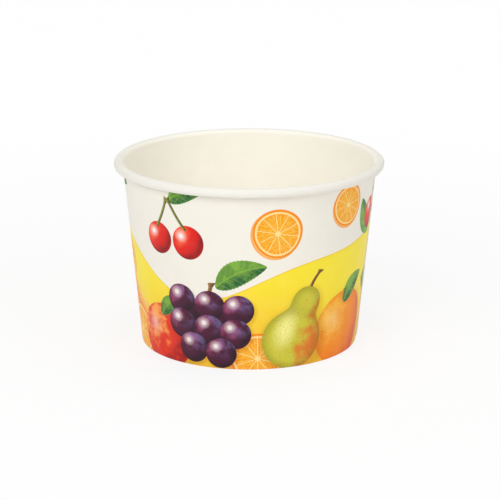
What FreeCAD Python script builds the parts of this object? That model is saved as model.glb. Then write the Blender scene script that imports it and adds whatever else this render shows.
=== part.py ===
import FreeCAD, Part
import Sketcher
import math
import os

# Paper dessert cup, in millimetres, +Z up, with its origin at the centre of the ring that it stands on.
#
# Two pieces of board make the cup. The wall is one sheet wrapped into a cone and lapped at a side seam
# on +X: its top edge is rolled outwards into the rim, and its bottom edge is folded inwards and up.
# The bottom is a flat disc whose edge is turned down into a skirt, and the skirt sits in that fold.

Vector = FreeCAD.Vector

DIMENSIONS = {
    "rim_diameter": 90.0,  # over the rolled rim
    "base_diameter": 72.5,  # of the wall's outer face where it would meet the table
    "cup_height": 62.5,
    "board": 0.4,  # thickness of the coated board
    "curl_diameter": 3.3,  # of the rolled rim's section
    "curl_gap": 0.1,  # between the wall and the edge tucked in beside it
    "curl_tuck": 40.0,  # degrees that the edge goes on past the wall, inside the roll
    "hem_height": 6.0,  # of the wall's fold behind the skirt
    "fold_radius": 0.4,  # at the two lower corners of the fold
    "seal_gap": 0.02,  # each side of the skirt, for the melted coating that seals it
    "disc_recess": 7.5,  # from the table to the underside of the disc
    "disc_edge_radius": 0.5,  # inside, where the disc turns down
    "skirt_clearance": 0.2,  # between the skirt's cut edge and the floor of the fold
    "lap_width": 7.0,  # of the side seam at the base
    "lap_ramp": 1.8,  # over which the outer layer climbs onto the inner one
    "rim_lap_rise": 0.15,  # how far the lapped layers swell the rolled rim
}

# The middle of the roll's section, and the line of the wall's outer face, which touches the roll's inside
CURL_R = "(dims.rim_diameter - dims.curl_diameter) / 2"
CURL_Z = "(dims.cup_height - dims.curl_diameter / 2)"
FACE_REACH = "(dims.curl_diameter / 2 - dims.board)"
FLARE = f"({CURL_R} - dims.base_diameter / 2)"
LAP_HALF = "(dims.lap_width / dims.base_diameter * 180 / pi)"
RAMP = "(2 * dims.lap_ramp / dims.base_diameter * 180 / pi)"
TAPER = f"(atan({FLARE} / {CURL_Z}) - asin({FACE_REACH} / sqrt({FLARE} ^ 2 + {CURL_Z} ^ 2)))"


def make_sheet(doc):
    sheet = doc.addObject("Spreadsheet::Sheet", "dims")
    for row, (name, value) in enumerate(DIMENSIONS.items(), start=1):
        sheet.set(f"A{row}", name)
        sheet.set(f"B{row}", str(value))
        sheet.setAlias(f"B{row}", name)
    doc.recompute()
    return sheet


def plane_of(body, role):
    return next(f for f in body.Origin.OriginFeatures if f.Role == role)


class Outline:
    """A closed outline in a sketch, whose size constraints are bound to the sheet."""

    def __init__(self, body, name, role, lift=None):
        self.sketch = body.newObject("Sketcher::SketchObject", name)
        self.sketch.AttachmentSupport = (plane_of(body, role), [""])
        self.sketch.MapMode = "FlatFace"
        if lift:
            self.sketch.setExpression("AttachmentOffset.Base.z", lift)

    def line(self, start, end):
        return self.sketch.addGeometry(Part.LineSegment(Vector(*start, 0), Vector(*end, 0)), False)

    def arc(self, centre, radius, start, end):
        circle = Part.Circle(Vector(*centre, 0), Vector(0, 0, 1), radius)
        return self.sketch.addGeometry(Part.ArcOfCircle(circle, start, end), False)

    def point(self, place):
        return self.sketch.addGeometry(Part.Point(Vector(*place, 0)), True)

    def tie(self, kind, *args):
        return self.sketch.addConstraint(Sketcher.Constraint(kind, *args))

    def size(self, name, formula, kind, *args):
        index = self.tie(kind, *args)
        self.sketch.renameConstraint(index, name)
        self.sketch.setExpression(f"Constraints.{name}", formula)


# Ends of a sketch element, and the sketch's own axes. The origin is the start of the X axis.
START, END, CENTRE = range(1, 4)
X_AXIS, Y_AXIS = range(-1, -3, -1)
ORIGIN = X_AXIS


def polar(centre, radius, angle):
    return (centre[0] + radius * math.cos(angle), centre[1] + radius * math.sin(angle))


def wall_figures(d):
    """Where the wall's section lies, as numbers that the sketches start from."""
    curl = ((d.rim_diameter - d.curl_diameter) / 2, d.cup_height - d.curl_diameter / 2)
    flare = curl[0] - d.base_diameter / 2
    reach = d.curl_diameter / 2 - d.board
    return curl, math.atan(flare / curl[1]) - math.asin(reach / math.hypot(flare, curl[1]))


def wall_section(body, d):
    """The sheet's section, from the fold's inner edge round the base, up the wall and round the roll."""
    (curl_r, curl_z), taper = wall_figures(d)
    roll_out = d.curl_diameter / 2
    roll_in = roll_out - d.board
    tuck_less = (d.board + d.curl_gap) / 2
    tuck_centre = (curl_r + tuck_less * math.cos(taper), curl_z - tuck_less * math.sin(taper))
    over = math.pi - taper
    tuck_end = -taper - math.pi - math.radians(d.curl_tuck)

    def beside_wall(depth, height):
        """A point that lies depth inside the wall's outer face."""
        return (d.base_diameter / 2 + height * math.tan(taper) - depth / math.cos(taper), height)

    room = d.board + 2 * d.seal_gap
    behind = d.board + room
    free = behind + d.board
    cut = beside_wall(free, d.hem_height)
    outline = Outline(body, "wall_section", "XZ_Plane")
    # The print side: up the fold's free face, round the base and up the wall
    hem_face = outline.line(cut, beside_wall(free, d.fold_radius))
    inner_r = beside_wall(free, 0)[0] + d.fold_radius
    outer_r = beside_wall(0, 0)[0] - d.fold_radius
    inner_corner = outline.arc((inner_r, d.fold_radius), d.fold_radius, math.pi - taper, 1.5 * math.pi)
    land = outline.line((inner_r, 0), (outer_r, 0))
    outer_corner = outline.arc((outer_r, d.fold_radius), d.fold_radius, -math.pi / 2, -taper)
    wall_face = outline.line(beside_wall(0, d.fold_radius), polar((curl_r, curl_z), roll_in, over))
    # The roll, whose second half is tighter, so that its edge tucks in beside the wall
    roll_inside = outline.arc((curl_r, curl_z), roll_in, -taper, over)
    tuck_inside = outline.arc(tuck_centre, roll_in - tuck_less, tuck_end, -taper)
    edge_start = polar(tuck_centre, roll_in - tuck_less, tuck_end)
    edge_end = polar(tuck_centre, roll_out - tuck_less, tuck_end)
    roll_edge = outline.line(edge_start, edge_end)
    tuck_outside = outline.arc(tuck_centre, roll_out - tuck_less, tuck_end, -taper)
    roll_outside = outline.arc((curl_r, curl_z), roll_out, -taper, over)
    # The food side, down to the fold's floor and up behind the skirt
    wall_inside = outline.line(polar((curl_r, curl_z), roll_out, over), beside_wall(d.board, d.board))
    fold_floor = outline.line(beside_wall(d.board, d.board), beside_wall(behind, d.board))
    hem_back = outline.line(beside_wall(behind, d.board), beside_wall(behind, d.hem_height))
    hem_edge = outline.line(beside_wall(behind, d.hem_height), cut)
    foot = outline.point((d.base_diameter / 2, 0))

    for first, first_end, second, second_end in (
        (hem_face, END, inner_corner, START),
        (inner_corner, END, land, START),
        (land, END, outer_corner, START),
        (outer_corner, END, wall_face, START),
        (wall_face, END, roll_inside, END),
        (roll_inside, START, tuck_inside, END),
        (tuck_outside, END, roll_outside, START),
        (roll_outside, END, wall_inside, START),
    ):
        outline.tie("Tangent", first, first_end, second, second_end)
    for first, first_end, second, second_end in (
        (tuck_inside, START, roll_edge, START),
        (roll_edge, END, tuck_outside, START),
        (wall_inside, END, fold_floor, START),
        (fold_floor, END, hem_back, START),
        (hem_back, END, hem_edge, START),
        (hem_edge, END, hem_face, START),
        (roll_inside, CENTRE, roll_outside, CENTRE),
        (tuck_inside, CENTRE, tuck_outside, CENTRE),
    ):
        outline.tie("Coincident", first, first_end, second, second_end)
    outline.tie("PointOnObject", foot, START, X_AXIS)
    outline.tie("PointOnObject", foot, START, wall_face)
    outline.tie("PointOnObject", land, START, X_AXIS)
    outline.tie("Horizontal", land)
    outline.tie("Horizontal", fold_floor)
    outline.tie("Parallel", wall_face, wall_inside)
    outline.tie("Parallel", wall_face, hem_back)
    outline.tie("Parallel", wall_face, hem_face)
    outline.tie("Perpendicular", hem_edge, hem_back)
    outline.tie("Equal", inner_corner, outer_corner)
    foot_r = d.base_diameter / 2
    outline.size("foot_r", "dims.base_diameter / 2", "DistanceX", ORIGIN, START, foot, START, foot_r)
    outline.size("curl_r", CURL_R, "DistanceX", ORIGIN, START, roll_inside, CENTRE, curl_r)
    outline.size("curl_z", CURL_Z, "DistanceY", ORIGIN, START, roll_inside, CENTRE, curl_z)
    outline.size("roll_out", "dims.curl_diameter / 2", "Radius", roll_outside, roll_out)
    outline.size("roll_in", FACE_REACH, "Radius", roll_inside, roll_in)
    tuck_in = f"{FACE_REACH} - (dims.board + dims.curl_gap) / 2"
    outline.size("tuck_in", tuck_in, "Radius", tuck_inside, roll_in - tuck_less)
    outline.size("half_turn", "180", "Angle", roll_inside, math.pi)
    tuck_turn = math.pi + math.radians(d.curl_tuck)
    for name, element in (("tuck_turn", tuck_inside), ("tuck_turn_outside", tuck_outside)):
        outline.size(name, "180 + dims.curl_tuck", "Angle", element, tuck_turn)
    outline.size("fold_corner", "dims.fold_radius", "Radius", outer_corner, d.fold_radius)
    outline.size("floor_z", "dims.board", "DistanceY", ORIGIN, START, fold_floor, START, d.board)
    skirt_room = "dims.board + 2 * dims.seal_gap"
    outline.size("skirt_room", skirt_room, "Distance", hem_back, START, wall_inside, room)
    outline.size("hem_board", "dims.board", "Distance", hem_face, START, hem_back, d.board)
    outline.size("hem_top", "dims.hem_height", "DistanceY", ORIGIN, START, hem_back, END, d.hem_height)
    return outline.sketch


def revolve(body, name, sketch, angle="360"):
    """The sketch turned about Z, half of the angle each way from its own plane."""
    turned = body.newObject("PartDesign::Revolution", name)
    turned.Profile = sketch
    turned.ReferenceAxis = (sketch, ["V_Axis"])
    turned.Midplane = True
    turned.setExpression("Angle", angle)
    body.Tip = turned


def lap_outline(body, name, d, height, lift):
    """A level section of the seam's outer layer, rooted half a board deep in the wall."""
    taper = wall_figures(d)[1]
    face = d.base_diameter / 2 + height * math.tan(taper)
    root, crest = face - d.board / 2, face + d.board
    half = d.lap_width / d.base_diameter
    ramp = half + 2 * d.lap_ramp / d.base_diameter
    outline = Outline(body, name, "XY_Plane", lift)
    outer = outline.arc((0, 0), crest, -half, half)
    step = outline.line(polar((0, 0), crest, -half), polar((0, 0), root, -half))
    inner = outline.arc((0, 0), root, -half, ramp)
    climb = outline.line(polar((0, 0), root, ramp), polar((0, 0), crest, half))
    outline.tie("Coincident", outer, CENTRE, ORIGIN, START)
    outline.tie("Coincident", inner, CENTRE, ORIGIN, START)
    outline.tie("Coincident", outer, START, step, START)
    outline.tie("Coincident", step, END, inner, START)
    outline.tie("Coincident", inner, END, climb, START)
    outline.tie("Coincident", climb, END, outer, END)
    outline.tie("PointOnObject", ORIGIN, START, step)
    face_radius = f"dims.base_diameter / 2 + ({lift}) * tan({TAPER})"
    outline.size("crest", f"{face_radius} + dims.board", "Radius", outer, crest)
    outline.size("root", f"{face_radius} - dims.board / 2", "Radius", inner, root)
    outline.size("lap_turn", f"2 * {LAP_HALF}", "Angle", outer, 2 * half)
    outline.size("ramp_turn", f"2 * {LAP_HALF} + {RAMP}", "Angle", inner, half + ramp)
    outline.size("lap_side", f"-{LAP_HALF}", "Angle", X_AXIS, step, -half)
    return outline.sketch


def side_lap(body, d):
    """The outer layer of the side seam, from the base up to the rolled rim."""
    top = d.cup_height - d.curl_diameter
    low = lap_outline(body, "lap_low", d, d.fold_radius, "dims.fold_radius")
    high = lap_outline(body, "lap_high", d, top, "dims.cup_height - dims.curl_diameter")
    lap = body.newObject("PartDesign::AdditiveLoft", "side_lap")
    lap.Profile = low
    lap.Sections = [high]
    lap.Ruled = True
    body.Tip = lap


def rim_lap(body, d):
    """The slight swelling of the rolled rim where both layers of the seam run through it."""
    centre, taper = wall_figures(d)
    crest = d.curl_diameter / 2 + d.rim_lap_rise
    root = (d.curl_diameter - d.board) / 2
    over = math.pi - taper
    outline = Outline(body, "rim_lap_section", "XZ_Plane")
    outside = outline.arc(centre, crest, -taper, over)
    inner_end = outline.line(polar(centre, crest, over), polar(centre, root, over))
    inside = outline.arc(centre, root, -taper, over)
    outer_end = outline.line(polar(centre, root, -taper), polar(centre, crest, -taper))
    outline.tie("Coincident", outside, END, inner_end, START)
    outline.tie("Coincident", inner_end, END, inside, END)
    outline.tie("Coincident", inside, START, outer_end, START)
    outline.tie("Coincident", outer_end, END, outside, START)
    outline.tie("Coincident", outside, CENTRE, inside, CENTRE)
    outline.tie("PointOnObject", outside, CENTRE, outer_end)
    outline.tie("PointOnObject", outside, CENTRE, inner_end)
    outline.size("middle_r", CURL_R, "DistanceX", ORIGIN, START, outside, CENTRE, centre[0])
    outline.size("middle_z", CURL_Z, "DistanceY", ORIGIN, START, outside, CENTRE, centre[1])
    outline.size("crest", "dims.curl_diameter / 2 + dims.rim_lap_rise", "Radius", outside, crest)
    outline.size("root", "(dims.curl_diameter - dims.board) / 2", "Radius", inside, root)
    outline.size("half_turn", "180", "Angle", outside, math.pi)
    outline.size("slant", f"-{TAPER}", "Angle", X_AXIS, outer_end, -taper)
    revolve(body, "rim_lap", outline.sketch, f"2 * {LAP_HALF}")


def cup_wall(doc, d):
    body = doc.addObject("PartDesign::Body", "cup_wall")
    body.Label = "cup_wall"
    revolve(body, "wrapped_sheet", wall_section(body, d))
    side_lap(body, d)
    rim_lap(body, d)
    return body


def disc_section(body, d):
    """Half of the disc's section, with its skirt against the wall's inside."""
    taper = wall_figures(d)[1]
    slope = math.tan(taper)
    inset = (d.board + d.seal_gap) / math.cos(taper)
    outer_bend = d.disc_edge_radius + d.board
    top = d.disc_recess + d.board
    foot_z = d.board + d.skirt_clearance

    def beside_skirt(depth, height):
        """A point that lies depth inside the skirt's outer face."""
        return (d.base_diameter / 2 - inset + height * slope - depth / math.cos(taper), height)

    bend_z = top - outer_bend
    bend_r = beside_skirt(outer_bend, bend_z)[0]
    outline = Outline(body, "disc_section", "XZ_Plane")
    upper = outline.line((0, top), (bend_r, top))
    outer_arc = outline.arc((bend_r, bend_z), outer_bend, -taper, math.pi / 2)
    skirt_face = outline.line(polar((bend_r, bend_z), outer_bend, -taper), beside_skirt(0, foot_z))
    skirt_edge = outline.line(beside_skirt(0, foot_z), beside_skirt(d.board, foot_z))
    skirt_top = polar((bend_r, bend_z), d.disc_edge_radius, -taper)
    skirt_back = outline.line(beside_skirt(d.board, foot_z), skirt_top)
    inner_arc = outline.arc((bend_r, bend_z), d.disc_edge_radius, -taper, math.pi / 2)
    under = outline.line((bend_r, d.disc_recess), (0, d.disc_recess))
    axis = outline.line((0, d.disc_recess), (0, top))
    foot = outline.point((d.base_diameter / 2 - inset, 0))

    outline.tie("Tangent", upper, END, outer_arc, END)
    outline.tie("Tangent", outer_arc, START, skirt_face, START)
    outline.tie("Coincident", skirt_face, END, skirt_edge, START)
    outline.tie("Coincident", skirt_edge, END, skirt_back, START)
    outline.tie("Tangent", skirt_back, END, inner_arc, START)
    outline.tie("Tangent", inner_arc, END, under, START)
    outline.tie("Coincident", under, END, axis, START)
    outline.tie("Coincident", axis, END, upper, START)
    outline.tie("Coincident", inner_arc, CENTRE, outer_arc, CENTRE)
    outline.tie("PointOnObject", foot, START, X_AXIS)
    outline.tie("PointOnObject", foot, START, skirt_face)
    outline.tie("PointOnObject", upper, START, Y_AXIS)
    outline.tie("Vertical", axis)
    outline.tie("Horizontal", upper)
    outline.tie("Horizontal", under)
    outline.tie("Horizontal", skirt_edge)
    outline.tie("Parallel", skirt_face, skirt_back)
    foot_r = d.base_diameter / 2 - inset
    foot_formula = f"dims.base_diameter / 2 - (dims.board + dims.seal_gap) / cos({TAPER})"
    outline.size("foot_r", foot_formula, "DistanceX", ORIGIN, START, foot, START, foot_r)
    slant = f"90 deg - {TAPER}"
    outline.size("slant", slant, "Angle", X_AXIS, START, skirt_face, END, math.pi / 2 - taper)
    outline.size("bend", "dims.disc_edge_radius", "Radius", inner_arc, d.disc_edge_radius)
    outline.size("bend_outside", "dims.disc_edge_radius + dims.board", "Radius", outer_arc, outer_bend)
    outline.size("recess", "dims.disc_recess", "DistanceY", ORIGIN, START, axis, START, d.disc_recess)
    outline.size(
        "foot_z", "dims.board + dims.skirt_clearance", "DistanceY", ORIGIN, START, skirt_edge, START, foot_z
    )
    return outline.sketch


def cup_bottom(doc, d):
    body = doc.addObject("PartDesign::Body", "cup_bottom")
    body.Label = "cup_bottom"
    revolve(body, "pressed_disc", disc_section(body, d))
    return body


def check(doc, bodies):
    """Stops at a failed feature, a loose sketch, or a piece that isn't one valid solid."""
    for thing in doc.Objects:
        if {"Invalid", "Error"} & set(thing.State):
            raise RuntimeError(f"{thing.Name} failed: {thing.State}")
        if thing.TypeId == "Sketcher::SketchObject" and not thing.FullyConstrained:
            raise RuntimeError(f"{thing.Name} isn't fully constrained")
    for body in bodies:
        shape = body.Shape
        if shape.isNull() or not shape.isValid() or len(shape.Solids) != 1:
            raise RuntimeError(f"{body.Label} isn't one valid solid")
        print(body.Label, round(shape.Volume, 2), "mm3", shape.optimalBoundingBox())


def main():
    doc = FreeCAD.newDocument("dessert_cup")
    dims = make_sheet(doc)
    bodies = [cup_wall(doc, dims), cup_bottom(doc, dims)]
    doc.recompute()
    check(doc, bodies)
    os.makedirs("parts", exist_ok=True)
    for body in bodies:
        body.Shape.exportStep(f"parts/{body.Label}.step")


main()
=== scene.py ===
import math

import bmesh
import bpy
from bpy.props import FloatProperty, FloatVectorProperty, IntProperty, PointerProperty
from mathutils import Matrix, Vector


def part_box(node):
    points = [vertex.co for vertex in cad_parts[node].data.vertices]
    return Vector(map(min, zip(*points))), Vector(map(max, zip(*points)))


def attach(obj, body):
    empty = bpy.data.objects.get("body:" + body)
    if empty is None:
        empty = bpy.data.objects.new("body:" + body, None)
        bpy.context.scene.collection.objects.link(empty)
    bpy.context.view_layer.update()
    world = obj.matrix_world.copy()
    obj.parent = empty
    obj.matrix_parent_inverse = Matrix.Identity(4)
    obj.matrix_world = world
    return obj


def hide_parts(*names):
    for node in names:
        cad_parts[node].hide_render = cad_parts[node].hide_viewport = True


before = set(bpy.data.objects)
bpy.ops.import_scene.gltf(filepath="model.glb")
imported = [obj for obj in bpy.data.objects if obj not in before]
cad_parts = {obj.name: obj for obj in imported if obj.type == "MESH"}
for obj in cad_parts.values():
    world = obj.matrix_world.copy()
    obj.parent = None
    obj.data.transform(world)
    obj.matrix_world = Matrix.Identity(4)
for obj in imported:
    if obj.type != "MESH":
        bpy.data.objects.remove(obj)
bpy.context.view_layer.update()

bl_info = {
    "name": "Paper Dessert Cup",
    "version": (1, 0, 0),
    "blender": (4, 5, 0),
    "location": "View3D > Sidebar > Dessert Cup",
    "description": "Models a printed paper dessert cup and the stage that it is shown on",
    "category": "Object",
}

WALL_LOW, WALL_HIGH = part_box("cup_wall")
BOTTOM_LOW, BOTTOM_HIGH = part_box("cup_bottom")
MM = 0.001


def number(name, description, default, **kind):
    return FloatProperty(name=name, description=description, default=default, **kind)


def length(name, description, default):
    return number(name, description, default, unit="LENGTH", precision=5)


def degrees(name, description, default):
    return number(name, description, math.radians(default), subtype="ANGLE")


def whole(name, description, default, least):
    return IntProperty(name=name, description=description, default=default, min=least)


def shade(name, description, default):
    return FloatVectorProperty(
        name=name, description=description, default=default, subtype="COLOR", size=3, min=0, max=1
    )


def ink(red, green, blue):
    """A display colour, 0 to 255 in each channel, as the linear values that shaders take."""
    def linear(channel):
        share = channel / 255
        return share / 12.92 if share <= 0.04045 else ((share + 0.055) / 1.055) ** 2.4

    return (linear(red), linear(green), linear(blue))


class CupSize(bpy.types.PropertyGroup):
    """Sizes of the cup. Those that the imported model's boxes show are read from them."""

    rim_radius: length("Rim Radius", "Outside the rolled rim", -WALL_LOW.x)
    rim_lap_rise: length("Rim Swelling", "How far the seam swells the rolled rim", WALL_HIGH.x + WALL_LOW.x)
    cup_height: length(
        "Height", "To the top of the rim, beside the seam", WALL_HIGH.z - WALL_HIGH.x - WALL_LOW.x
    )
    base_radius: length("Base Radius", "Of the wall's outer face at the table", 36.25 * MM)
    board: length("Board", "Thickness of the coated board", 0.4 * MM)
    curl_radius: length("Roll Radius", "Outer radius of the rolled rim's section", 1.65 * MM)
    curl_gap: length("Roll Gap", "Between the wall and the edge tucked in beside it", 0.1 * MM)
    curl_tuck: degrees("Roll Tuck", "How far the tucked edge goes on", 40)
    hem_height: length("Hem Height", "Of the fold behind the bottom's skirt", 6 * MM)
    fold_radius: length("Fold Radius", "Outside, at the corners of the bottom fold", 0.4 * MM)
    seal_gap: length("Seal Gap", "On each side of the skirt", 0.02 * MM)
    disc_top: length("Disc Top", "Height of the bottom's upper face", BOTTOM_HIGH.z)
    disc_edge_radius: length("Disc Edge Radius", "Inside, where the disc turns down", 0.5 * MM)
    disc_sag: length("Disc Sag", "How far the bottom's middle hangs", 0.25 * MM)
    skirt_foot: length("Skirt Foot", "Height of the skirt's cut edge", BOTTOM_LOW.z)
    lap_width: length("Lap Width", "Of the side seam at the base", 7 * MM)
    lap_ramp: length("Lap Ramp", "Over which the outer layer climbs onto the inner one", 1.8 * MM)
    knurl_depth: length("Knurl Depth", "Of the ridges pressed into the fold", 0.2 * MM)
    knurls: whole("Knurls", "Ridges round the fold", 124, 1)
    columns: whole("Wall Columns", "Steps round the wall, beside the seam", 600, 64)
    disc_columns: whole("Bottom Columns", "Steps round the bottom", 320, 64)


class CupPrint(bpy.types.PropertyGroup):
    """Colours of the board and of the fruit print."""

    board_white: shade("Board White", "The coated board outside", ink(243, 239, 228))
    # The food side's cream, painted lighter than the board outside: painted light for the shade inside the
    # cup
    food_white_with_painted_light: shade("Food White", "The coated board inside", ink(254, 250, 239))
    # A greyer copy of the food side's white on the roll: painted shade, not a change in the board
    rim_white_with_painted_shade: shade("Rim White", "The coated board on the rolled rim", ink(238, 235, 226))
    core: shade("Board Core", "The raw board at a cut edge", ink(232, 221, 196))
    field_bright: shade("Field Bright", "The yellow field, at its lightest", ink(252, 232, 62))
    field_gold: shade("Field Gold", "The yellow field towards the base", ink(246, 198, 58))
    leaf_dark: shade("Leaf Dark", "Shaded side of the leaves", ink(36, 96, 52))
    leaf_light: shade("Leaf Light", "Lit side and veins of the leaves", ink(134, 182, 64))
    cherry: shade("Cherry", "The cherries", ink(226, 38, 30))
    apple: shade("Apple", "The apples", ink(228, 52, 30))
    grape: shade("Grape", "The dark grapes", ink(74, 20, 50))
    orange: shade("Orange", "The oranges' peel and flesh", ink(247, 142, 22))
    pear: shade("Pear", "The pears", ink(206, 200, 62))


class CupStage(bpy.types.PropertyGroup):
    """Where the camera stands, and how bright the studio is."""

    camera_distance: length("Camera Distance", "In front of the cup's axis", 693.5 * MM)
    camera_height: length("Camera Height", "Above the table", 227.1 * MM)
    camera_pitch: degrees("Camera Pitch", "How far the camera looks down", 15.85)
    focal_length: number("Focal Length", "In millimetres, on a 36 mm sensor", 153.8)
    shift: number("Shift", "Sideways, as a share of the frame", 0.002)
    world_strength: number("World Strength", "Of the even light all round", 0.47)
    key_power: number("Key Power", "Of the soft lamp on the left", 6.3, unit="POWER")
    fill_power: number("Fill Power", "Of the soft lamp on the right", 2.7, unit="POWER")
    top_power: number("Top Power", "Of the soft lamp above", 3.0, unit="POWER")


# Shader nodes

PRINTED_SHADOW = (0.62, 0.44, 0.3)  # what is left of a colour in a printed shadow
MIX_INPUTS, MIX_RESULT = (0, 6, 7), 2  # the Mix node's sockets for a share and two colours


class Field:
    """A value that changes over the surface. Arithmetic on it adds Math nodes."""

    def __init__(self, graph, socket):
        self.graph = graph
        self.socket = socket

    def math(self, operation, *values):
        return self.graph.math(operation, self, *values)

    def __add__(self, other):
        return self.math("ADD", other)

    def __sub__(self, other):
        return self.math("SUBTRACT", other)

    def __rsub__(self, other):
        return self.graph.math("SUBTRACT", other, self)

    def __mul__(self, other):
        return self.math("MULTIPLY", other)

    def __truediv__(self, other):
        return self.math("DIVIDE", other)

    def __pow__(self, other):
        return self.math("POWER", other)

    def size(self):
        return self.math("ABSOLUTE")

    def root(self):
        return self.math("MAXIMUM", 0.0).math("SQRT")

    def wave(self):
        return self.math("SINE")

    def square(self, middle=0.0):
        """The square of how far the value lies from the middle."""
        away = self - middle if middle else self
        return away * away

    def climb(self, low, high, start=0.0, end=1.0):
        """Smoothly from start, where the value is low or less, to end, where it is high or more."""
        inputs = {"Value": self, "From Min": low, "From Max": high, "To Min": start, "To Max": end}
        # A smooth step needs no clamping, which would only add nodes
        return self.graph.node("MapRange", inputs, interpolation_type="SMOOTHSTEP", clamp=False)

    def fall(self, low, high):
        """Smoothly from 1 at low to 0 at high."""
        return self.climb(low, high, 1.0, 0.0)


class Graph:
    """Adds nodes to a tree in short lines. An input is a number, a colour or a Field."""

    def __init__(self, tree):
        self.tree = tree

    def put(self, socket, value):
        if isinstance(value, Field):
            self.tree.links.new(value.socket, socket)
        elif socket.type == "RGBA":
            socket.default_value = (*value[:3], 1.0)
        else:
            socket.default_value = value

    def fill(self, node, inputs):
        for name, value in inputs.items():
            self.put(node.inputs[name], value)

    def node(self, kind, inputs, output=0, **settings):
        made = self.tree.nodes.new(f"ShaderNode{kind}")
        for name, value in settings.items():
            setattr(made, name, value)
        self.fill(made, inputs)
        return Field(self, made.outputs[output])

    def math(self, operation, *values):
        return self.node("Math", dict(enumerate(values)), operation=operation)

    def blend(self, share, first, second, kind="MIX"):
        """The first colour where the share is 0, and the second where it is 1."""
        inputs = dict(zip(MIX_INPUTS, (share, first, second)))
        return self.node("Mix", inputs, output=MIX_RESULT, data_type="RGBA", blend_type=kind)

    def shaded(self, share, colour):
        """The colour as it is in a printed shadow where the share is 1."""
        return self.blend(share, colour, PRINTED_SHADOW, "MULTIPLY")

    def noise(self, vector, scale, detail=2.0, dimensions="3D"):
        inputs = {"Vector": vector, "Scale": scale, "Detail": detail}
        return self.node("TexNoise", inputs, noise_dimensions=dimensions)

    def bump(self, distance, height):
        return self.node("Bump", {"Strength": 1.0, "Distance": distance, "Height": height})

    def split(self, vector):
        node = self.tree.nodes.new("ShaderNodeSeparateXYZ")
        self.put(node.inputs[0], vector)
        return [Field(self, output) for output in node.outputs]

    def place(self):
        """The place on the object, in metres."""
        return self.node("TexCoord", {}, output="Object")

    def away(self, x, y, centre=(0.0, 0.0)):
        """How far a place lies from a centre."""
        return (x.square(centre[0]) + y.square(centre[1])).root()

    def from_axis(self):
        """How far a place on the object lies from its Z axis."""
        x, y, _ = self.split(self.place())
        return self.away(x, y)

    def use(self, group, inputs):
        """Places a group and gives all its outputs."""
        made = self.tree.nodes.new("ShaderNodeGroup")
        made.node_tree = group
        self.fill(made, inputs)
        return [Field(self, output) for output in made.outputs]


class Group(Graph):
    """A node group with named inputs and outputs."""

    KINDS = {"value": "NodeSocketFloat", "colour": "NodeSocketColor", "vector": "NodeSocketVector"}

    def __init__(self, name, inputs, outputs):
        super().__init__(bpy.data.node_groups.new(name, "ShaderNodeTree"))
        for direction, sockets in (("INPUT", inputs), ("OUTPUT", outputs)):
            for label, kind in sockets.items():
                self.tree.interface.new_socket(label, in_out=direction, socket_type=self.KINDS[kind])
        given = self.tree.nodes.new("NodeGroupInput")
        self.given = {label: Field(self, given.outputs[label]) for label in inputs}
        self.result = self.tree.nodes.new("NodeGroupOutput")

    def give(self, **values):
        self.fill(self.result, values)
        return self.tree


# The fruit of the print

MOTIF = {"X": "value", "Y": "value", "Below": "colour", "Cloud": "value", "Grain": "value"}
SEGMENTS = 10  # in a slice of orange
FIELD_EDGE = 34  # millimetres up, on average


def motif_group(name, colours, values=()):
    """A motif's group, which also takes a place, the colour below it and two noises."""
    inputs = {**MOTIF, **dict.fromkeys(colours, "colour"), **dict.fromkeys(values, "value")}
    return Group(name, inputs, {"Color": "colour"})


def placed_group():
    """Turns a place on the flat sheet into a place on a motif, whose own size is 1."""
    labels = ("Across", "Up", "Centre Across", "Centre Up", "Repeat", "Stretch", "Size", "Turn")
    group = Group("placed", {label: "value" for label in labels}, {"X": "value", "Y": "value"})
    across, up, centre_across, centre_up, repeat, stretch, size, turn = group.given.values()
    half = repeat * 0.5
    x = group.math("WRAP", across - centre_across, half, half * -1) * stretch
    y = up - centre_up
    cosine, sine = turn.math("COSINE"), turn.wave()
    return group.give(X=(x * cosine + y * sine) / size, Y=(y * cosine - x * sine) / size)


def ball_group():
    """A round fruit: a sphere lit from the upper left, with mottled or dimpled skin and a soft glint."""
    skin = ("Mottle", "Dimple", "Bloom", "Glint", "Shadow")
    group = motif_group("ball", ("Light", "Base", "Dark"), skin)
    x, y, below, cloud, grain, light, base, dark, *skin = group.given.values()
    mottle, dimple, bloom, glint, shadow = skin
    thrown = (x.square(0.1) + y.square(-0.12)).fall(0.7, 1.5) * shadow
    below = group.shaded(thrown, below)
    reach = x.square() + y.square()
    facing = (1 - reach).root()
    lit = y * 0.52 - x * 0.46 + facing * 0.72 + (cloud - 0.5) * mottle + (grain - 0.5) * dimple
    colour = group.blend(lit.climb(-0.35, 0.62), dark, base)
    colour = group.blend(lit.climb(0.62, 1.12), colour, light)
    powder = cloud.climb(0.38, 0.62) * (y + facing * 0.6).climb(0.1, 1.1) * bloom
    colour = group.blend(powder, colour, ink(126, 120, 178))
    bounce = reach.climb(0.55, 0.9) * (x - y * 0.9).climb(0.55, 1.35) * 0.45
    colour = group.blend(bounce, colour, base)
    spot = x.square(-0.36) + y.square(0.4)
    shine = spot.fall(0.0, 0.2) * 0.45 + spot.fall(0.0, 0.05) * 0.55
    colour = group.blend(shine * glint, colour, ink(255, 248, 244))
    return group.give(Color=group.blend(reach.fall(0.955, 1.0), below, colour))


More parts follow.
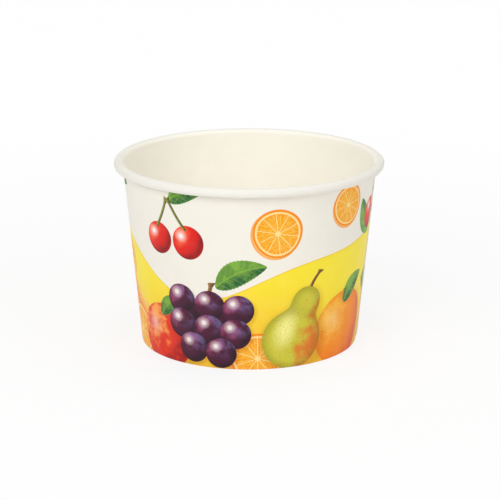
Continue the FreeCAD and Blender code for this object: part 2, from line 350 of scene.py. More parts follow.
def leaf_group():
    """A leaf from x = -1 at its stalk to x = 1 at its tip, with a bowed midrib and side veins."""
    group = motif_group("leaf", ("Dark", "Light"))
    x, y, below, cloud, grain, dark, light = group.given.values()
    bow = y + x.square() * 0.2 - 0.1
    swell = (1 - x.square()).math("MAXIMUM", 0.0001) ** 0.72
    teeth = (x * 46).wave() * 0.02 + 1
    half = swell * (x * -0.1 + 0.47) * teeth
    side = bow / half
    vein = ((x - bow.size() * 0.8) * 4.2).math("FRACT") - 0.5
    vein = vein.size().fall(0.02, 0.09) * side.size().fall(0.7, 1.0) * 0.5
    rib = bow.size().fall(0.012, 0.04)
    patch = (cloud + (grain - 0.5) * 0.3).climb(0.42, 0.62)
    colour = group.blend(side.climb(-0.5, 0.35) * 0.5 + patch * 0.35, dark, light)
    colour = group.blend(vein, colour, light)
    colour = group.blend(rib * 0.75, colour, light)
    colour = group.blend(side.size().climb(0.82, 0.98) * 0.4, colour, light)
    inside = side.size().fall(0.95, 1.02) * x.square().fall(0.98, 1.0)
    return group.give(Color=group.blend(inside, below, colour))


def citrus_group():
    """A round slice of citrus: peel, pith, segments with streaked flesh, and its cut thickness."""
    group = motif_group("citrus", ("Peel", "Pith", "Flesh", "Juice"))
    x, y, below, cloud, grain, peel, pith, flesh, juice = group.given.values()
    wobble = (x * 3.1 + 1).wave() * (y * 2.7).wave() * 0.018 + 1
    reach = group.away(x, y) * wobble
    back = group.away(x, y, (-0.07, -0.06)) * wobble
    heading = y.math("ARCTAN2", x)
    wedge = (heading * (SEGMENTS / math.tau) + 0.3).math("FRACT") - 0.5
    wall = (0.5 - wedge.size()) * reach
    wander = (heading * 9 + reach * 6).wave() * 1.6
    streak = (heading * 41 + wander).wave() * 0.2 + (reach * 17 + wander * 2).wave() * 0.12
    pulp = group.blend((streak + grain).climb(0.3, 0.72), flesh, juice)
    pulp = group.blend(reach.climb(0.55, 0.84) * 0.35, pulp, peel)
    inside = wall.climb(0.012, 0.034) * reach.climb(0.07, 0.13) * reach.fall(0.8, 0.835)
    colour = group.blend(inside, pith, pulp)
    colour = group.blend(reach.climb(0.875, 0.915), colour, peel)
    cut = group.blend(back.climb(0.8, 1.0) * 0.8 + (cloud - 0.5) * 0.3, pith, peel)
    colour = group.blend(reach.fall(0.97, 0.995), cut, colour)
    edge = back.math("MINIMUM", reach)
    return group.give(Color=group.blend(edge.fall(0.98, 1.005), below, colour))


def pear_group():
    """A pear on its stalk end up, with a blushed side, a highlight and freckles."""
    group = motif_group("pear", ("Light", "Base", "Blush"), ("Shadow",))
    x, y, below, cloud, grain, light, base, blush, shadow = group.given.values()
    belly = group.away(x, y, (0.0, -0.36)) - 0.6
    neck = group.away(x, y, (0.05, 0.42)) - 0.29
    body = group.math("SMOOTH_MIN", belly, neck, 0.42)
    below = group.shaded((body - x * 0.1 + y * 0.08).fall(-0.06, 0.16) * shadow, below)
    depth = (body * -1).climb(-0.04, 0.2)
    turn = (x + (cloud - 0.5) * 1.1 - y * 0.12).climb(-0.05, 0.62)
    colour = group.blend(turn * 0.85, base, blush)
    glow = (x.square(-0.2) * 2.6 + y.square(-0.2) * 0.9).root()
    colour = group.blend(glow.fall(0.02, 0.5) * 0.9, colour, light)
    colour = group.blend(grain.climb(0.6, 0.72) * 0.3, colour, ink(122, 92, 34))
    colour = group.blend((1 - depth) * 0.5, colour, ink(122, 112, 24))
    return group.give(Color=group.blend(body.fall(-0.014, 0.006), below, colour))


def melon_group():
    """A wedge of melon: an arc of rind below, with flesh up to the scooped top."""
    group = motif_group("melon", ("Rind", "Pale", "Flesh"))
    x, y, below, cloud, grain, rind, pale, flesh = group.given.values()
    reach = group.away(x, y)
    scoop = group.away(x, y, (0.0, 0.7))
    fibre = (y * 40 + (x * 7).wave() * 3).wave() * 0.03 + (grain - 0.5) * 0.3
    colour = group.blend((scoop - fibre - (cloud - 0.5) * 0.3).climb(0.74, 1.3), pale, flesh)
    colour = group.blend(reach.climb(0.82, 0.93) * 0.8, colour, pale)
    colour = group.blend(reach.climb(0.945, 0.965), colour, rind)
    inside = reach.fall(0.985, 1.005) * scoop.climb(0.9, 0.925)
    return group.give(Color=group.blend(inside, below, colour))


def stem_group():
    """A thin stalk that rises from y = 0 to y = 1 and bends sideways as it goes."""
    group = motif_group("stem", ("Light", "Dark"), ("Bend", "Width"))
    x, y, below, cloud, grain, light, dark, bend, width = group.given.values()
    width = width * (y.climb(0.78, 1.0) * 0.9 + 1)
    side = (x - bend * y * y) / width
    inside = side.size().fall(0.8, 1.1) * y.climb(-0.02, 0.01) * y.fall(0.98, 1.0)
    colour = group.blend((side + (grain - 0.5) * 2 + (cloud - 0.5)).climb(-0.8, 0.8), light, dark)
    return group.give(Color=group.blend(inside, below, colour))


def leaning(turn, across, up):
    """A step on a motif that is turned by degrees."""
    return Matrix.Rotation(math.radians(turn), 2) @ Vector((across, up))


class Layout:
    """Lays motifs over one another. Places are in millimetres, from the front and up from the foot."""

    def __init__(self, graph, sheet, stretch, colour):
        self.graph = graph
        self.sheet = sheet
        self.stretch = stretch
        self.colour = colour
        self.colours = bpy.context.scene.cup_print
        self.placed = placed_group()
        self.motifs = {
            "ball": ball_group(),
            "leaf": leaf_group(),
            "citrus": citrus_group(),
            "pear": pear_group(),
            "melon": melon_group(),
            "stem": stem_group(),
        }

    def from_sheet(self, *labels):
        return {label: self.sheet[label] for label in labels}

    def draw(self, motif, place, size, turn=0.0, **look):
        """Draws a motif over all before it. A look is named like the motif's input."""
        across, up = place
        spot = {"Centre Across": across, "Centre Up": up, "Stretch": self.stretch(up), "Size": size}
        spot.update(self.from_sheet("Across", "Up", "Repeat"), Turn=math.radians(turn))
        x, y = self.graph.use(self.placed, spot)
        inputs = {"X": x, "Y": y, "Below": self.colour, **self.from_sheet("Cloud", "Grain")}
        inputs.update({label.title(): value for label, value in look.items()})
        self.colour, = self.graph.use(self.motifs[motif], inputs)

    def leaf(self, place, size, turn):
        self.draw("leaf", place, size, turn, dark=self.colours.leaf_dark, light=self.colours.leaf_light)

    def stem(self, place, size, turn, bend=0.1, width=0.03, light=ink(140, 150, 62), dark=ink(82, 66, 34)):
        self.draw("stem", place, size, turn, light=light, dark=dark, bend=bend, width=width)

    def cherries(self, place, turn=0.0):
        """Two cherries that hang from one joint."""
        joint = Vector(place)
        self.leaf(joint + leaning(turn, 7.0, 1.2), 7.2, turn + 12)
        for hang, radius, bend in (((-6.4, -13.5), 5.5, -0.16), ((5.0, -15.0), 5.8, 0.14)):
            middle = joint + leaning(turn, *hang)
            self.draw(
                "ball", middle, radius, turn, light=ink(255, 108, 70), base=self.colours.cherry,
                dark=ink(112, 12, 24), mottle=0.6, dimple=0.0, bloom=0.0, glint=0.9, shadow=0.0,
            )
            top = middle + leaning(turn, 0, radius * 0.7)
            rise = joint - top
            heading = math.degrees(math.atan2(-rise.x, rise.y) + math.atan(bend))
            self.stem(top, rise.length, heading, bend=bend, width=0.045)

    def grapes(self, place, turn=0.0):
        """A bunch of dark grapes that hangs from its stalk. Those at the back are drawn first, in shade."""
        top = Vector(place)
        brown = {"light": ink(156, 118, 60), "dark": ink(92, 58, 30)}
        self.stem(top + leaning(turn, 0, -6), 9, turn + 8, bend=0.2, width=0.08, **brown)
        night = ink(26, 6, 22)
        skin = self.colours.grape
        front = {"light": ink(168, 70, 104), "base": skin, "dark": night, "bloom": 0.45, "glint": 0.85}
        back = {"light": skin, "base": ink(44, 12, 34), "dark": night, "bloom": 0.0, "glint": 0.0}
        rows = (
            (back, -9.4, (-5.6, 5.4)), (back, -17.0, (-4.6, 5.2)), (front, -5.2, (-10.2, 0.2, 10.0)),
            (front, -13.6, (-9.6, 0.6, 9.8)), (front, -21.0, (-4.8, 5.4)),
        )
        for look, drop, offsets in rows:
            for offset in offsets:
                spot = top + leaning(turn, offset, drop)
                self.draw("ball", spot, 5.3, turn, **look, mottle=0.9, dimple=0.0, shadow=0.5)

    def round_fruit(self, place, size, turn, **look):
        """A whole orange or apple, with its stalk and a leaf."""
        self.draw("ball", place, size, turn, bloom=0.0, shadow=0.4, **look)
        top = Vector(place) + leaning(turn, 0.1, 0.72) * size
        self.leaf(top + leaning(turn, 0.46, 0.2) * size, size * 0.52, turn + 24)
        self.stem(top, size * 0.3, turn - 12, bend=0.2, width=0.14, dark=ink(70, 62, 28))

    def orange(self, place, size, turn=0.0):
        self.round_fruit(
            place, size, turn, light=ink(255, 196, 70), base=self.colours.orange, dark=ink(214, 60, 14),
            mottle=0.4, dimple=0.5, glint=0.12,
        )

    def apple(self, place, size, turn=0.0):
        self.round_fruit(
            place, size, turn, light=ink(255, 168, 84), base=self.colours.apple, dark=ink(126, 10, 18),
            mottle=1.3, dimple=0.3, glint=0.3,
        )

    def pear(self, place, size, turn=0.0):
        """A pear with its stalk."""
        brown = {"light": ink(150, 104, 56), "dark": ink(88, 56, 32)}
        top = Vector(place) + leaning(turn, 0.05, 0.64) * size
        self.stem(top, size * 0.42, turn, bend=0.3, width=0.08, **brown)
        self.draw(
            "pear", place, size, turn, light=ink(250, 244, 150), base=self.colours.pear,
            blush=ink(224, 96, 40), shadow=0.5,
        )

    def slice(self, place, size, turn=0.0):
        """A slice of orange."""
        self.draw(
            "citrus", place, size, turn, peel=self.colours.orange, pith=ink(255, 226, 150),
            flesh=ink(246, 160, 40), juice=ink(255, 196, 70),
        )

    def melon(self, place, size, turn=0.0):
        """A wedge of melon."""
        self.draw(
            "melon", place, size, turn, rind=ink(96, 142, 58), pale=ink(255, 226, 120),
            flesh=ink(246, 150, 52),
        )


def sheet_figures(cup, seam):
    """The print's length round the sheet, its height, and the radius at a height, in millimetres."""
    slant = wall_slant(cup) / MM
    taper = wall_figures(cup)[1]

    def radius_at(height):
        return cup.base_radius / MM + height * math.sin(taper)

    return seam.sheet * radius_at(slant / 2), slant, radius_at


def fruit_print(cup, seam):
    """The whole printed sheet: white board, a yellow field with a wavy edge, and fruit over both."""
    colours = bpy.context.scene.cup_print
    sheet_length, slant, radius_at = sheet_figures(cup, seam)
    repeat = sheet_length / 2
    front = seam.past_cut(-math.pi / 2) / seam.sheet

    inputs = {"Sheet": "vector", "Cloud": "value", "Grain": "value"}
    group = Group("fruit_print", inputs, {"Color": "colour"})
    u, v, _ = group.split(group.given["Sheet"])
    across = (u - front) * sheet_length
    up = v * slant
    turn = across * (math.tau / repeat)
    edge = (turn - 0.9).wave() * 8.5 + (turn * 2 + 0.6).wave() * 2.6 + FIELD_EDGE
    under = edge - up
    field = group.blend(up.climb(2, 30), colours.field_gold, colours.field_bright)
    glow = (turn + 1.9).wave().climb(-0.4, 1.0) * up.fall(14, 40) * 0.5
    field = group.blend(glow, field, colours.field_gold)
    field = group.blend(under.fall(0.1, 0.6) * 0.7, field, ink(240, 190, 48))
    colour = group.blend(under.climb(-0.12, 0.12), colours.board_white, field)

    sheet = {**group.given, "Across": across, "Up": up, "Repeat": repeat}
    middle = radius_at(slant / 2)
    layout = Layout(group, sheet, lambda height: radius_at(height) / middle, colour)
    layout.slice((-59, 30), 8.6, 10)
    layout.melon((-43, 21), 15.5, -18)
    layout.slice((-51, 6), 9.4, 40)
    layout.apple((-33, 8), 11.5, 12)
    layout.leaf((-3, 33), 9.2, 24)
    layout.slice((3, 4), 9.0, 30)
    layout.orange((38, 10), 13.4, 14)
    layout.pear((17, 16), 17.5, -16)
    layout.grapes((-13, 27), -6)
    layout.cherries((-27, 57), 8)
    layout.slice((9, 47), 8.4)
    layout.leaf((48, 46), 8.4, 128)
    layout.slice((35, 53), 7.2, 20)
    layout.cherries((62, 58), -14)
    layout.leaf((60, 20), 9.0, -34)
    return group.give(Color=layout.colour)


# Materials

BOARD_CLOUD, COARSE_FIBRE, FINE_FIBRE, EDGE_FIBRE = 160.0, 520.0, 2600.0, 5200.0  # noise, per metre
PRINT_CLOUD, PRINT_GRAIN = 0.22, 1.6  # noise, per millimetre
ROLL_PAINTED_SHADE = (3.1 * MM, 1.9 * MM)  # inside the rim's outer line, where the roll's painted shade begins and is full


def fibre_group():
    """Fibres and clouding of coated board: a mask for its colour, and a height for its bump."""
    made = bpy.data.node_groups.get("board_fibre")
    if made:
        return made
    group = Group("board_fibre", {"Vector": "vector"}, {"Cloud": "value", "Height": "value"})
    place = group.given["Vector"]
    cloud = group.noise(place, BOARD_CLOUD, detail=3.0)
    fine = group.noise(place, FINE_FIBRE)
    coarse = group.noise(place, COARSE_FIBRE)
    return group.give(Cloud=cloud, Height=fine * 0.45 + coarse * 0.55)


def new_material(name):
    """A material with a Principled BSDF, and the graph of its nodes."""
    material = bpy.data.materials.new(name)
    material.use_nodes = True
    return material, Graph(material.node_tree), material.node_tree.nodes["Principled BSDF"]


def board_material(name, base_of, roughness, bump, coat):
    """Coated board, whose colour comes from base_of(graph)."""
    material, graph, shader = new_material(name)
    cloud, height = graph.use(fibre_group(), {"Vector": graph.place()})
    base = base_of(graph)
    worn = graph.node("HueSaturation", {"Value": 0.985, "Saturation": 1.02, "Color": base})
    graph.fill(shader, {
        "Base Color": graph.blend(cloud.climb(0.35, 0.7), worn, base),
        "Roughness": cloud * 0.1 + roughness,
        "Specular IOR Level": 0.25,
        "Coat Weight": coat,
        "Coat Roughness": 0.3,
        "Normal": graph.bump(bump, height),
    })
    return material


def printed_material(cup, seam):
    """The board's printed side. Its ink is a little uneven, at the scale of the fruit and finer."""
    sheet_length, slant, _ = sheet_figures(cup, seam)
    print_group = fruit_print(cup, seam)

    def base_of(graph):
        sheet = graph.node("UVMap", {}, uv_map="sheet")
        flat = graph.node("Mapping", {"Vector": sheet, "Scale": (sheet_length, slant, 1.0)})
        cloud = graph.noise(flat, PRINT_CLOUD, detail=3.0, dimensions="2D")
        grain = graph.noise(flat, PRINT_GRAIN, dimensions="2D")
        return graph.use(print_group, {"Sheet": sheet, "Cloud": cloud, "Grain": grain})[0]

    return board_material("printed_side", base_of, roughness=0.45, bump=0.012 * MM, coat=0.1)


def food_material():
    """The board's plain side, which meets the food. Its cream is painted lighter as painted light for the
    shade inside the cup, and greyer on the rolled rim as painted shade.
    """
    made = bpy.data.materials.get("food_side")
    if made:
        return made
    cup = bpy.context.scene.cup_size
    colours = bpy.context.scene.cup_print

    def base_of(graph):
        begins, full = (cup.rim_radius - inset for inset in ROLL_PAINTED_SHADE)
        # the greyer tone on the roll is painted shade, fading in towards the rim's outer line
        roll = graph.from_axis().climb(begins, full)
        return graph.blend(roll, colours.food_white_with_painted_light, colours.rim_white_with_painted_shade)

    return board_material("food_side", base_of, roughness=0.52, bump=0.014 * MM, coat=0.06)


def cut_material():
    """The raw edge of the board, with its layers of fibre."""
    made = bpy.data.materials.get("cut_edge")
    if made:
        return made
    colours = bpy.context.scene.cup_print
    material, graph, shader = new_material("cut_edge")
    place = graph.place()
    layers = graph.noise(place, EDGE_FIBRE, detail=3.0)
    _, height = graph.use(fibre_group(), {"Vector": place})
    graph.fill(shader, {
        "Base Color": graph.blend(layers.climb(0.4, 0.65), colours.core, colours.board_white),
        "Roughness": layers * 0.15 + 0.75,
        "Normal": graph.bump(0.03 * MM, height),
    })
    return material


# Meshes

PRINT_SIDE, FOOD_SIDE, CUT_EDGE = range(3)
TOUCHING = 0.002 * MM  # points nearer than this are one
SHARP = math.radians(38)  # an edge that turns by more is shown as a sharp one


def smooth(value, low, high):
    """Smoothly from 0 at low to 1 at high."""
    share = min(max((value - low) / (high - low), 0), 1)
    return share * share * (3 - 2 * share)


def band(value, start, full, waning, end):
    """1 from full to waning, and smoothly down to 0 at start and at end."""
    return smooth(value, start, full) * (1 - smooth(value, waning, end))


def pressed(offset, depth, width):
    """How deep a rounded press mark is, at an offset from its middle."""
    return depth * math.exp(-(offset / width) ** 2)


def settle(items, key):
    """Puts points or faces in one order, since the spin operator's own differs between runs."""
    for index, item in enumerate(sorted(items, key=key)):
        item.index = index
    items.sort()


class Pen:
    """Draws a section in the XZ plane, run by run and bend by bend, with the outside on its right."""

    def __init__(self, start):
        self.bm = bmesh.new()
        self.station = self.bm.verts.layers.int.new("station")
        self.tip = self.bm.verts.new((start[0], 0, start[1]))
        self.verts = [self.tip]
        self.parts = []

    def add(self, vert, part):
        vert[self.station] = len(self.verts)
        self.tip = vert
        self.verts.append(vert)
        self.parts.append(part)

    def run(self, place, part, steps=1):
        stride = (Vector((place[0], 0, place[1])) - self.tip.co) / steps
        for _ in range(steps):
            made = bmesh.ops.extrude_vert_indiv(self.bm, verts=[self.tip])["verts"]
            bmesh.ops.translate(self.bm, verts=made, vec=stride)
            self.add(made[0], part)

    def bend(self, centre, angle, part, steps):
        """Turns about a centre, from X towards Z where the angle is positive."""
        for _ in range(steps):
            made = bmesh.ops.spin(
                self.bm, geom=[self.tip], cent=(centre[0], 0, centre[1]), axis=(0, -1, 0),
                angle=angle / steps, steps=1,
            )["geom_last"]
            self.add(next(item for item in made if isinstance(item, bmesh.types.BMVert)), part)

    def close(self, part):
        bmesh.ops.contextual_create(self.bm, geom=[self.tip, self.verts[0]])
        self.measure(part)

    def measure(self, part):
        """Notes each station's place, its way out of the surface and its distance along the section."""
        self.parts.append(part)
        self.places = [vert.co.xz for vert in self.verts]
        count = len(self.places)
        self.outward = []
        self.path = [0.0]
        for index, place in enumerate(self.places):
            along = self.places[(index + 1) % count] - self.places[index - 1]
            self.outward.append(Vector((along.y, -along.x)).normalized())
            if index:
                self.path.append(self.path[-1] + (place - self.places[index - 1]).length)

    def spin(self, turns, doublings=3):
        """Turns the section about Z by stages of an angle and its steps. The last is made by doubling."""
        *first, (rest, columns) = turns
        sector = rest / 2 ** doublings
        geom = self.bm.verts[:] + self.bm.edges[:]
        for angle, steps in (*first, (sector, columns // 2 ** doublings)):
            known = set(self.bm.faces)
            made = bmesh.ops.spin(self.bm, geom=geom, axis=(0, 0, 1), angle=angle, steps=steps)
            geom = made["geom_last"]
        faces = [face for face in self.bm.faces if face not in known]
        for doubling in range(doublings):
            copy = bmesh.ops.duplicate(self.bm, geom=faces)["geom"]
            turn = Matrix.Rotation(sector * 2 ** doubling, 3, "Z")
            verts = [item for item in copy if isinstance(item, bmesh.types.BMVert)]
            bmesh.ops.rotate(self.bm, verts=verts, matrix=turn)
            faces += [item for item in copy if isinstance(item, bmesh.types.BMFace)]
        settle(self.bm.verts, lambda vert: (vert[self.station], *vert.co))
        bmesh.ops.remove_doubles(self.bm, verts=self.bm.verts, dist=TOUCHING)
        self.bm.verts.index_update()
        settle(self.bm.faces, lambda face: sorted(vert.index for vert in face.verts))


def add_object(name, data):
    made = bpy.data.objects.new(name, data)
    bpy.context.scene.collection.objects.link(made)
    return made


def add_mesh(name, bm, materials):
    """Makes the object of a finished mesh."""
    mesh = bpy.data.meshes.new(name)
    bm.to_mesh(mesh)
    bm.free()
    for material in materials:
        mesh.materials.append(material)
    return add_object(name, mesh)


def make_piece(bm, name, materials, node):
    """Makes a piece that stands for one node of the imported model."""
    bmesh.ops.recalc_face_normals(bm, faces=bm.faces)
    for face in bm.faces:
        face.smooth = True
    for edge in bm.edges:
        edge.smooth = edge.calc_face_angle(0) < SHARP
    piece = add_mesh(name, bm, materials)
    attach(piece, "root")
    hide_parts(node)


def wall_figures(cup):
    """The roll's centre and the wall's slant, in the XZ plane."""
    centre = Vector((cup.rim_radius - cup.curl_radius, cup.cup_height - cup.curl_radius))
    flare = centre.x - cup.base_radius
    touch = (cup.curl_radius - cup.board) / math.hypot(flare, centre.y)
    return centre, math.atan(flare / centre.y) - math.asin(touch)


def wall_slant(cup):
    """The printed side's height, measured along the wall from the table to the roll."""
    centre, taper = wall_figures(cup)
    return centre.y / math.cos(taper)


def beside_wall(cup, depth, height):
    """A point in the XZ plane that lies depth inside the wall's outer face."""
    taper = wall_figures(cup)[1]
    return Vector((cup.base_radius + height * math.tan(taper) - depth / math.cos(taper), height))


def compass(angle):
    return Vector((math.cos(angle), math.sin(angle)))


class Seam:
    """Where the wall's two lapped layers lie, by angle about Z, and how far they lift the surface."""

    LAP_STEPS = 14
    RAMP_STEPS = 6

    def __init__(self, cup):
        self.half = cup.lap_width / (2 * cup.base_radius)
        self.over = 2 * self.half
        self.ramp = cup.lap_ramp / cup.base_radius
        self.sheet = math.tau + self.over
        self.sliver = math.radians(0.02)  # the angle given to a cut edge, which stands upright

    def past_cut(self, angle):
        """How far a point lies past the outer layer's cut edge, from 0 to a full turn."""
        return (angle + self.half) % math.tau

    def lifted(self, past):
        """1 where the outer layer lies on the inner one, falling to 0 where the sheet lies on its own."""
        return 1 - smooth(past, self.over, self.over + self.ramp)

    def in_lap(self, past):
        return past < self.over

    def turns(self, columns):
        """Stages of a full turn that starts at the outer layer's cut edge: angles, and steps in each."""
        lap = (self.over - self.sliver, self.LAP_STEPS)
        first = ((self.sliver, 1), lap, (self.sliver, 1), (self.ramp, self.RAMP_STEPS))
        return (*first, (math.tau - sum(angle for angle, _ in first), columns))


def wall_section(cup):
    """The sheet's section, from the fold's cut edge down, up the outside, round and down the inside."""
    centre, taper = wall_figures(cup)
    corner = cup.fold_radius
    inner = cup.curl_radius - cup.board
    behind = 2 * (cup.board + cup.seal_gap)
    free = behind + cup.board
    tuck = centre + compass(-taper) * (cup.board + cup.curl_gap) / 2
    tuck_turn = math.pi + cup.curl_tuck
    foot_inner = beside_wall(cup, free - corner, corner)
    foot_outer = beside_wall(cup, corner, corner)

    pen = Pen(beside_wall(cup, free, cup.hem_height))
    pen.run(foot_inner + compass(math.pi - taper) * corner, "hem", steps=8)
    pen.bend(foot_inner, math.pi / 2 + taper, "fold", steps=4)
    pen.run((foot_outer.x, 0), "fold")
    pen.bend(foot_outer, math.pi / 2 - taper, "fold", steps=4)
    pen.run(centre + compass(math.pi - taper) * inner, "outside", steps=30)
    pen.bend(centre, -math.pi, "under_roll", steps=9)
    pen.bend(tuck, -tuck_turn, "under_roll", steps=9)
    pen.run(pen.tip.co.xz + (pen.tip.co.xz - tuck).normalized() * cup.board, "tucked_edge")
    pen.bend(tuck, tuck_turn, "lip", steps=15)
    pen.bend(centre, math.pi, "lip", steps=18)
    pen.run(beside_wall(cup, cup.board, cup.board), "inside", steps=28)
    pen.run(beside_wall(cup, behind, cup.board), "groove")
    pen.run(beside_wall(cup, behind, cup.hem_height), "groove", steps=4)
    pen.close("hem_edge")
    return pen


WALL_SIDES = {
    **dict.fromkeys(("hem", "fold", "outside", "under_roll"), PRINT_SIDE),
    **dict.fromkeys(("lip", "inside", "groove"), FOOD_SIDE),
    **dict.fromkeys(("tucked_edge", "hem_edge"), CUT_EDGE),
}

# Heights on the wall between which an effect comes and goes
WAVED = (10 * MM, 18 * MM, 50 * MM, 58 * MM)
KNURLED = (0.7 * MM, 1.4 * MM, 4.9 * MM, 5.6 * MM)
LAPPED_OUTSIDE = (0.4 * MM, 1.4 * MM, 59.3 * MM, 60.0 * MM)
LAPPED_INSIDE = (6.5 * MM, 7.9 * MM)
LAP_THINS = (58 * MM, 62.5 * MM)  # inside, to half its step
RIM_SWELLS = (57 * MM, 61.5 * MM)
FADE_BELOW, FADE_ABOVE = 0.9 * MM, 0.6 * MM  # the roll's middle, for the seam on its outer half

WAVE_DEPTH = 0.05 * MM
LINE_RISE, LINE_DEPTH, LINE_WIDTH = 0.8 * MM, 0.05 * MM, 0.5 * MM  # the line pressed in above the fold
RING_RADIUS, RING_DEPTH, RING_WIDTH = 32.4 * MM, 0.22 * MM, 0.7 * MM  # the ring pressed into the bottom
SAG_RADIUS = 30 * MM


def board_wave(angle, height):
    """The slight swellings of real board, from -1 to 1, broad ones and finer ones."""
    return (math.sin(3 * angle + height * 55) + 0.6 * math.sin(7 * angle - height * 110 + 1)) / 1.6


def wall_shift(cup, seam, part, place, angle):
    """How far a point of the wall lies outside the plain turned form, along its way out of the surface."""
    centre = wall_figures(cup)[0]
    past = seam.past_cut(angle)
    height = place.y
    wave = WAVE_DEPTH * band(height, *WAVED) * board_wave(angle, height)
    if part == "hem":
        ridge = 0.5 + 0.5 * math.cos(cup.knurls * angle)
        return -cup.knurl_depth * ridge * band(height, *KNURLED)
    if part == "outside":
        line = pressed(height - cup.hem_height - LINE_RISE, LINE_DEPTH, LINE_WIDTH)
        return wave - line + cup.board * seam.lifted(past) * band(height, *LAPPED_OUTSIDE)
    if part in ("inside", "lip"):
        swell = cup.rim_lap_rise * smooth(past, 0, seam.ramp) * seam.in_lap(past)
        swell *= smooth(height, *RIM_SWELLS)
        step = 0 if seam.in_lap(past) else cup.board * seam.lifted(past)
        step *= smooth(height, *LAPPED_INSIDE) * (1 - 0.5 * smooth(height, *LAP_THINS))
        shown = smooth(height, centre.y - FADE_BELOW, centre.y + FADE_ABOVE) if place.x > centre.x else 1
        return (swell - step) * shown - wave
    return 0.0


def shape_wall(cup, seam, pen):
    """Moves each turned point to where the seam, the knurls and the board's waves have it."""
    for vert in pen.bm.verts:
        station = vert[pen.station]
        angle = math.atan2(vert.co.y, vert.co.x)
        shift = wall_shift(cup, seam, pen.parts[station - 1], pen.places[station], angle)
        way = pen.outward[station] * shift
        vert.co += Vector((way.x * math.cos(angle), way.x * math.sin(angle), way.y))


def mark_wall(cup, seam, pen):
    """Gives each face its side of the board, and maps the print round the sheet and up the wall."""
    sheet = pen.bm.loops.layers.uv.new("sheet")
    foot = pen.path[pen.parts.index("outside")] - cup.fold_radius
    slant = wall_slant(cup)
    for face in pen.bm.faces:
        stations = sorted(vert[pen.station] for vert in face.verts)
        closing = stations[0] == 0 and stations[-1] == len(pen.places) - 1
        part = "hem_edge" if closing else pen.parts[stations[0]]
        middle = face.calc_center_median()
        past = seam.past_cut(math.atan2(middle.y, middle.x))
        outer_cut = part == "outside" and min(past, math.tau - past) < seam.sliver / 2
        inner_cut = part in ("inside", "lip") and abs(past - seam.over) < seam.sliver / 2
        face.material_index = CUT_EDGE if outer_cut or inner_cut else WALL_SIDES[part]
        for loop in face.loops:
            round_sheet = seam.past_cut(math.atan2(loop.vert.co.y, loop.vert.co.x))
            if abs(round_sheet - past) > math.pi:
                round_sheet += math.copysign(math.tau, past - round_sheet)
            along = (pen.path[loop.vert[pen.station]] - foot) / slant
            loop[sheet].uv = (round_sheet / seam.sheet, along)


def bottom_section(cup):
    """The bottom's section, from the middle of its underside round the skirt to the middle of its top."""
    taper = wall_figures(cup)[1]
    outer = cup.disc_edge_radius + cup.board
    depth = cup.board + cup.seal_gap
    edge = beside_wall(cup, depth + outer, cup.disc_top - outer)
    pen = Pen((0, cup.disc_top - cup.board))
    pen.run((edge.x, cup.disc_top - cup.board), "under", steps=44)
    pen.bend(edge, -(math.pi / 2 + taper), "skirt", steps=5)
    pen.run(beside_wall(cup, depth + cup.board, cup.skirt_foot), "skirt", steps=5)
    pen.run(beside_wall(cup, depth, cup.skirt_foot), "skirt_edge")
    pen.run(edge + compass(-taper) * outer, "skirt", steps=5)
    pen.bend(edge, math.pi / 2 + taper, "skirt", steps=7)
    pen.run((0, cup.disc_top), "top", steps=44)
    pen.measure("axis")
    return pen


def disc_shift(cup, radius):
    """How far the disc hangs below its flat form, with the press's ring near its edge."""
    sag = cup.disc_sag * (1 - smooth(radius, 0, SAG_RADIUS))
    return sag + pressed(radius - RING_RADIUS, RING_DEPTH, RING_WIDTH)


# Stage

SENSOR = 36  # millimetres
LAMP_AIM = Vector((0, 0, 0.03))
LAMPS = (  # name, place and width, in metres
    ("key", (-0.55, -0.9, 0.75), 0.7),
    ("fill", (0.9, -0.8, 0.6), 0.7),
    ("top", (0.15, 0.1, 1.1), 0.9),
)
SHADOW_NEAR, SHADOW_FAR = 0.05, 0.35  # metres from the cup's axis
WHITE_NEAR, WHITE_FAR = 0.8, 0.985  # how much of the floor is shown as white there


def add_camera(stage):
    camera = add_object("camera", bpy.data.cameras.new("camera"))
    camera.data.lens = stage.focal_length
    camera.data.sensor_width = SENSOR
    camera.data.shift_x = stage.shift
    camera.location = (0, -stage.camera_distance, stage.camera_height)
    camera.rotation_euler = (math.pi / 2 - stage.camera_pitch, 0, 0)
    bpy.context.scene.camera = camera


def add_lamp(name, place, size, power):
    """A square soft lamp that points at the cup."""
    lamp = add_object(name, bpy.data.lights.new(name, "AREA"))
    lamp.data.size = size
    lamp.data.energy = power
    lamp.location = place
    lamp.rotation_euler = (LAMP_AIM - Vector(place)).to_track_quat("-Z", "Y").to_euler()


def seen_share(graph):
    """1 for rays that show a surface to the camera, also by reflection, and 0 for those that light it."""
    rays = graph.tree.nodes.new("ShaderNodeLightPath")
    seen = Field(graph, rays.outputs["Is Camera Ray"])
    for ray in ("Is Glossy Ray", "Is Transmission Ray"):
        seen = seen.math("MAXIMUM", Field(graph, rays.outputs[ray]))
    return seen


def add_world(stage):
    """Even light all round, which the camera and reflections see as plain white."""
    world = bpy.data.worlds.new("studio")
    bpy.context.scene.world = world
    world.use_nodes = True
    graph = Graph(world.node_tree)
    white = ink(255, 255, 255)
    light = graph.node("Background", {"Color": white, "Strength": stage.world_strength})
    shown = graph.node("Background", {"Color": white, "Strength": 1.0})
    mixed = graph.node("MixShader", {0: seen_share(graph), 1: light, 2: shown})
    graph.put(world.node_tree.nodes["World Output"].inputs["Surface"], mixed)


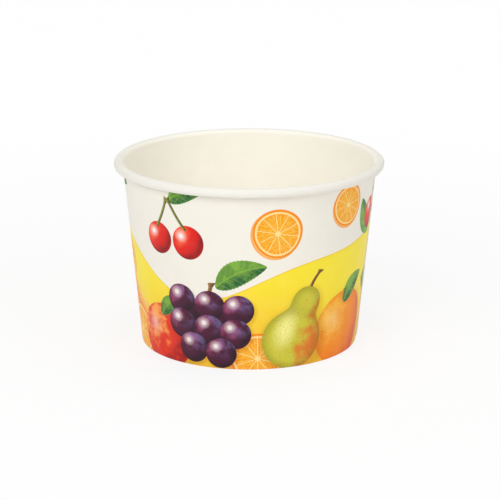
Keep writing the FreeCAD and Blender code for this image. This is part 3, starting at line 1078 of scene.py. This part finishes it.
def add_floor():
    """A pale round floor that the camera sees as nearly white, but for the cup's soft shadow."""
    material, graph, shader = new_material("floor")
    graph.fill(shader, {"Base Color": ink(251, 251, 251), "Roughness": 0.9, "Specular IOR Level": 0.1})
    shown = graph.node("Emission", {"Color": ink(255, 255, 255), "Strength": 1.0})
    lit = Field(graph, shader.outputs[0])
    white = graph.from_axis().climb(SHADOW_NEAR, SHADOW_FAR, WHITE_NEAR, WHITE_FAR)
    mixed = graph.node("MixShader", {0: seen_share(graph) * white, 1: lit, 2: shown})
    graph.put(material.node_tree.nodes["Material Output"].inputs["Surface"], mixed)
    bm = bmesh.new()
    bmesh.ops.create_circle(bm, cap_ends=True, radius=3.0, segments=96)
    floor = add_mesh("floor", bm, [material])


class AddStage(bpy.types.Operator):
    """Adds the camera, the soft lamps, the even world light and the pale floor"""

    bl_idname = "dessert_cup.add_stage"
    bl_label = "Add Stage"

    def execute(self, context):
        stage = context.scene.cup_stage
        add_camera(stage)
        add_world(stage)
        for name, place, size in LAMPS:
            add_lamp(f"{name}_lamp", place, size, getattr(stage, f"{name}_power"))
        add_floor()
        context.scene.view_settings.view_transform = "Standard"
        return {"FINISHED"}


class AddWall(bpy.types.Operator):
    """Adds the printed wall, one sheet that is lapped, folded in at its foot and rolled at its rim"""

    bl_idname = "dessert_cup.add_wall"
    bl_label = "Add Wall"

    def execute(self, context):
        cup = context.scene.cup_size
        seam = Seam(cup)
        pen = wall_section(cup)
        start = Matrix.Rotation(-seam.half - seam.sliver / 2, 3, "Z")
        bmesh.ops.rotate(pen.bm, verts=pen.bm.verts, matrix=start)
        pen.spin(seam.turns(cup.columns))
        mark_wall(cup, seam, pen)
        shape_wall(cup, seam, pen)
        materials = (printed_material(cup, seam), food_material(), cut_material())
        make_piece(pen.bm, "printed_wall", materials, "cup_wall")
        return {"FINISHED"}


class AddBottom(bpy.types.Operator):
    """Adds the recessed bottom, a disc whose edge is turned down into a skirt"""

    bl_idname = "dessert_cup.add_bottom"
    bl_label = "Add Bottom"

    def execute(self, context):
        cup = context.scene.cup_size
        pen = bottom_section(cup)
        pen.spin(((math.tau, cup.disc_columns),))
        just_under = cup.disc_top - 1.01 * cup.board
        for vert in pen.bm.verts:
            if vert.co.z > just_under:
                vert.co.z -= disc_shift(cup, math.hypot(vert.co.x, vert.co.y))
        for face in pen.bm.faces:
            first = min(vert[pen.station] for vert in face.verts)
            face.material_index = int(pen.parts[first] == "skirt_edge")
        make_piece(pen.bm, "bottom_disc", (food_material(), cut_material()), "cup_bottom")
        return {"FINISHED"}


OPERATORS = (AddStage, AddWall, AddBottom)


class CupPanel(bpy.types.Panel):
    """Lists the stage and the cup's pieces"""

    bl_idname = "VIEW3D_PT_dessert_cup"
    bl_label = "Paper Dessert Cup"
    bl_space_type = "VIEW_3D"
    bl_region_type = "UI"
    bl_category = "Dessert Cup"

    def draw(self, context):
        for operator in OPERATORS:
            self.layout.operator(operator.bl_idname)
        for name, settings in SETTINGS.items():
            for value in settings.__annotations__:
                self.layout.prop(getattr(context.scene, name), value)


SETTINGS = {"cup_size": CupSize, "cup_print": CupPrint, "cup_stage": CupStage}
CLASSES = (*SETTINGS.values(), *OPERATORS, CupPanel)


def register():
    for item in CLASSES:
        bpy.utils.register_class(item)
    for name, settings in SETTINGS.items():
        setattr(bpy.types.Scene, name, PointerProperty(type=settings))


def unregister():
    for name in SETTINGS:
        delattr(bpy.types.Scene, name)
    for item in reversed(CLASSES):
        bpy.utils.unregister_class(item)


def main():
    register()
    bpy.ops.dessert_cup.add_stage()
    bpy.ops.dessert_cup.add_wall()
    bpy.ops.dessert_cup.add_bottom()


if __name__ == "__main__":
    main()
